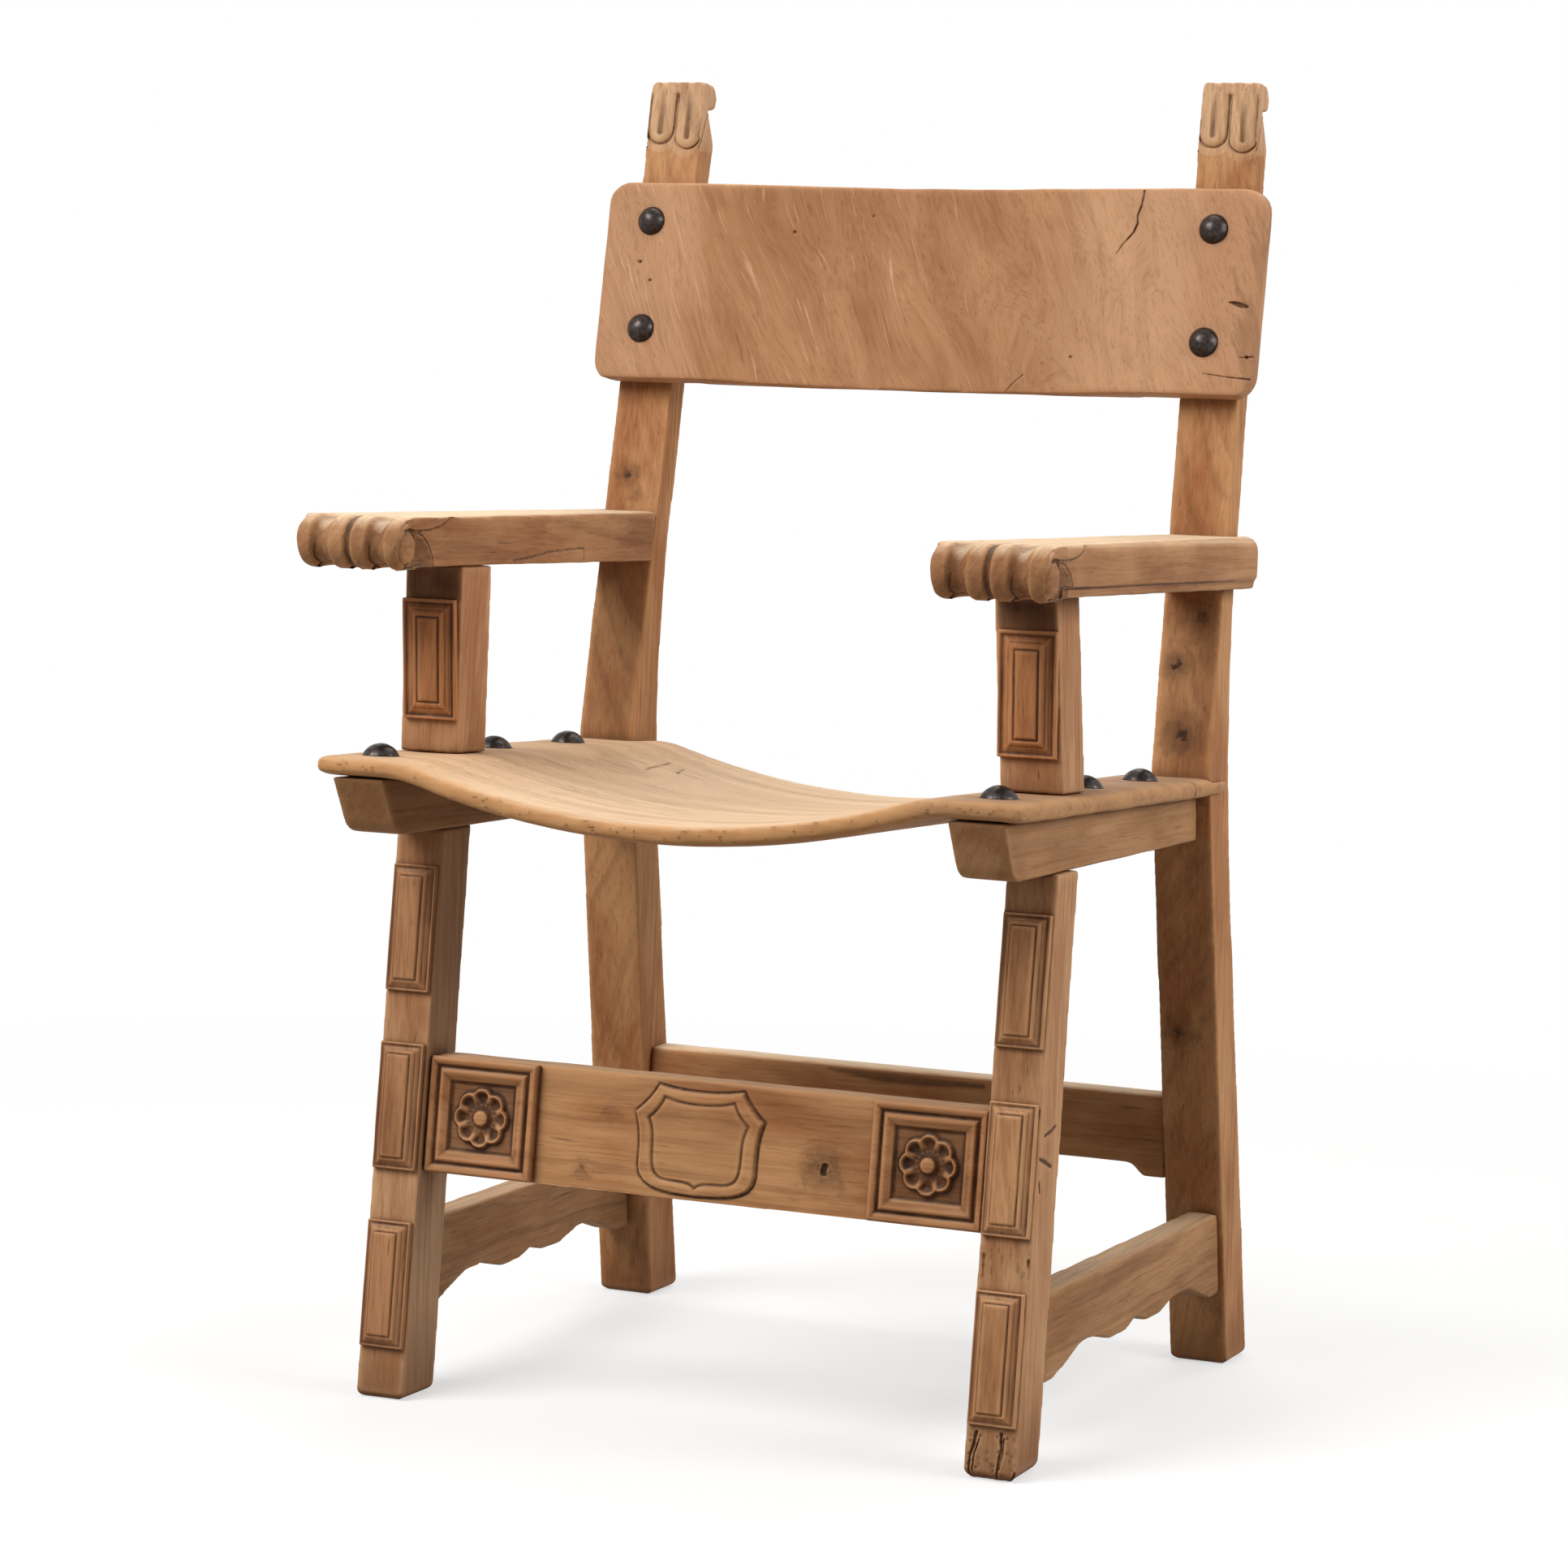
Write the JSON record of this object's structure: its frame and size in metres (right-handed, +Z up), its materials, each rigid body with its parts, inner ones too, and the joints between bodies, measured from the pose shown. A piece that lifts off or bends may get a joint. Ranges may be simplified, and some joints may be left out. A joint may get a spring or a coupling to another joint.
{
  "type": "joined armchair",
  "caption": "Joined hardwood armchair with a dished plank seat and back, raked panelled front legs, scrolled arms and finials, and a carved front stretcher.",
  "frame": {"origin": "on the floor, in the middle between the left and right sides, halfway between the front of the arms and the back of the rear feet", "axes": "+X to the right as the chair is seen from its front, -Y towards the front, +Y towards the back, +Z up"},
  "size_m": [0.635, 0.6686, 1.12],
  "materials": {
    "frame_wood": "bare, waxed and worn",
    "board_wood": "bare, figured and worn smooth",
    "carved_wood": "bare, darkened in the hollows",
    "iron": "forged, dark patina"
  },
  "bodies": {
    "root": {"arm_post_left": "frame_wood", "arm_post_panel_left": "carved_wood", "arm_post_panel_right": "carved_wood", "arm_post_right": "frame_wood", "armrest_left": "frame_wood", "armrest_right": "frame_wood", "back_board": "board_wood", "back_studs": "iron", "front_leg_left": "frame_wood", "front_leg_right": "frame_wood", "front_stretcher": "frame_wood", "leg_panel_lower_left": "carved_wood", "leg_panel_lower_right": "carved_wood", "leg_panel_middle_left": "carved_wood", "leg_panel_middle_right": "carved_wood", "leg_panel_upper_left": "carved_wood", "leg_panel_upper_right": "carved_wood", "rear_post_left": "frame_wood", "rear_post_right": "frame_wood", "rear_stretcher": "frame_wood", "rosette_block_left": "carved_wood", "rosette_block_right": "carved_wood", "seat_board": "board_wood", "seat_rail_left": "frame_wood", "seat_rail_right": "frame_wood", "seat_studs": "iron", "side_stretcher_left": "frame_wood", "side_stretcher_right": "frame_wood"}
  },
  "joints": []
}
